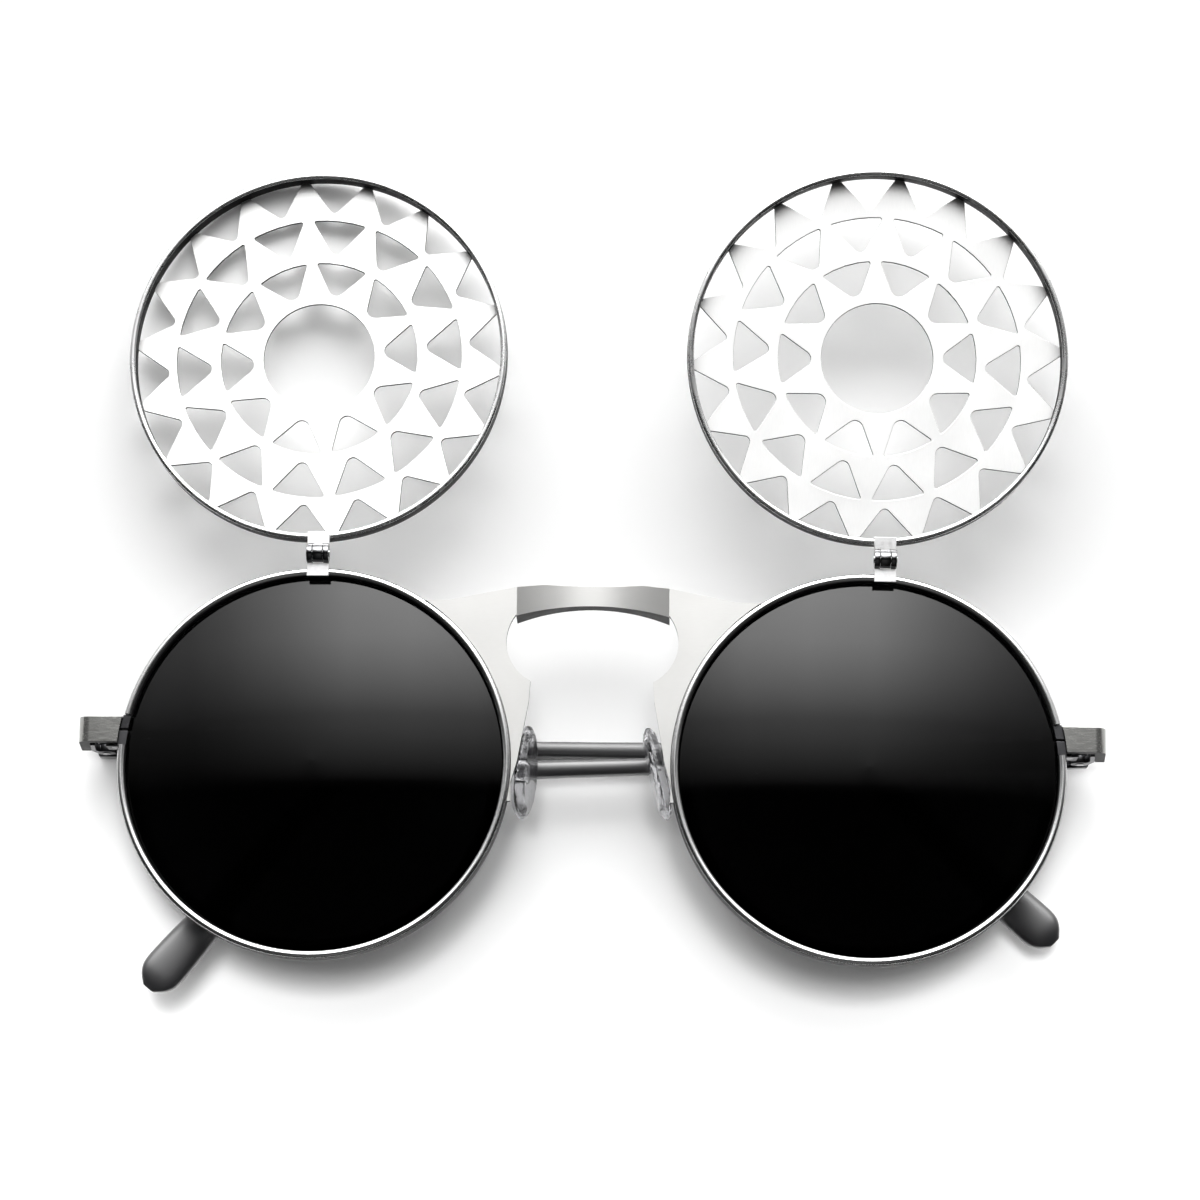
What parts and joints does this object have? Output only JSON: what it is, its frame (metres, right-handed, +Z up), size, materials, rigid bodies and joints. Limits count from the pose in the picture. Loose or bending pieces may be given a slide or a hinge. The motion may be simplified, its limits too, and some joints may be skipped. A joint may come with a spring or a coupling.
{
  "type": "flip up sunglasses",
  "caption": "Round metal sunglasses with pierced sunburst covers that flip up on barrel hinges, an arched bridge plate and folding temples.",
  "frame": {"origin": "centre of the bounding box's underside, with the folded sunglasses standing on a table, lenses up and covers flipped open", "axes": "+Z up from the table, +X to the viewer's right along the front, +Y from the lenses to the open covers"},
  "size_m": [0.1346, 0.1096, 0.0194],
  "materials": {
    "rim_metal": "polished steel wire and hoop",
    "plate_metal": "finely brushed, satin",
    "cover_metal": "bright satin",
    "leaf_metal": "satin",
    "bar_metal": "polished, grey",
    "dark_metal": "darkened",
    "screw_metal": "polished",
    "lens": "dark smoke, polished",
    "sleeve": "gloss black",
    "pad": "clear, soft"
  },
  "bodies": {
    "front": {"rim_left": "rim_metal", "rim_right": "rim_metal", "lens_left": "lens", "lens_right": "lens", "bridge_plate": "plate_metal", "block_top_left": "dark_metal", "block_top_right": "dark_metal", "block_low_left": "dark_metal", "block_low_right": "dark_metal", "rim_screw_left": "screw_metal", "rim_screw_right": "screw_metal", "end_piece_left": "plate_metal", "end_piece_right": "plate_metal", "front_hinge_left": "dark_metal", "front_hinge_right": "dark_metal", "hinge_screw_left": "screw_metal", "hinge_screw_right": "screw_metal", "pad_arm_left": "rim_metal", "pad_arm_right": "rim_metal", "pad_screw_left": "screw_metal", "pad_screw_right": "screw_metal", "flip_leaf_left": "leaf_metal", "flip_leaf_right": "leaf_metal", "flip_pin_left": "screw_metal", "flip_pin_right": "screw_metal"},
    "cover_left": {"cover_rim_left": "rim_metal", "cover_plate_left": "cover_metal", "cover_leaf_left": "leaf_metal"},
    "temple_left": {"temple_hinge_left": "dark_metal", "temple_bar_left": "bar_metal", "temple_sleeve_left": "sleeve"},
    "pad_left": {"nose_pad_left": "pad"},
    "cover_right": {"cover_rim_right": "rim_metal", "cover_plate_right": "cover_metal", "cover_leaf_right": "leaf_metal"},
    "temple_right": {"temple_hinge_right": "dark_metal", "temple_bar_right": "bar_metal", "temple_sleeve_right": "sleeve"},
    "pad_right": {"nose_pad_right": "pad"}
  },
  "joints": [
    {"name": "temple_left_fold", "type": "hinge", "parent": "front", "child": "temple_left", "pos_m": [-0.06414, -0.02183, 0.0036], "axis": [0.0025, 0.9894, -0.1451], "range_deg": [0, 90]},
    {"name": "temple_right_fold", "type": "hinge", "parent": "front", "child": "temple_right", "pos_m": [0.0642, -0.02183, 0.00584], "axis": [-0.0025, -0.9894, 0.1451], "range_deg": [0, 90]},
    {"name": "cover_left_flip", "type": "hinge", "parent": "front", "child": "cover_left", "pos_m": [-0.03621, 0.00281, 0.01081], "axis": [0.998, 0.0066, 0.0623], "range_deg": [0, 180]},
    {"name": "cover_right_flip", "type": "hinge", "parent": "front", "child": "cover_right", "pos_m": [0.03802, 0.00279, 0.01202], "axis": [0.9996, -0.0066, -0.0275], "range_deg": [0, 175.5]},
    {"name": "pad_left_rock", "type": "hinge", "parent": "front", "child": "pad_left", "pos_m": [-0.01073, -0.02552, 0.0101], "axis": [0.2914, -0.1585, -0.9434], "range_deg": [-5, 5]},
    {"name": "pad_right_rock", "type": "hinge", "parent": "front", "child": "pad_right", "pos_m": [0.01061, -0.02513, 0.01085], "axis": [-0.0508, -0.1603, -0.9858], "range_deg": [-5, 5]}
  ],
  "couplings": [
    {"joint": "temple_right_fold", "follows": "temple_left_fold", "ratio": 1}
  ]
}
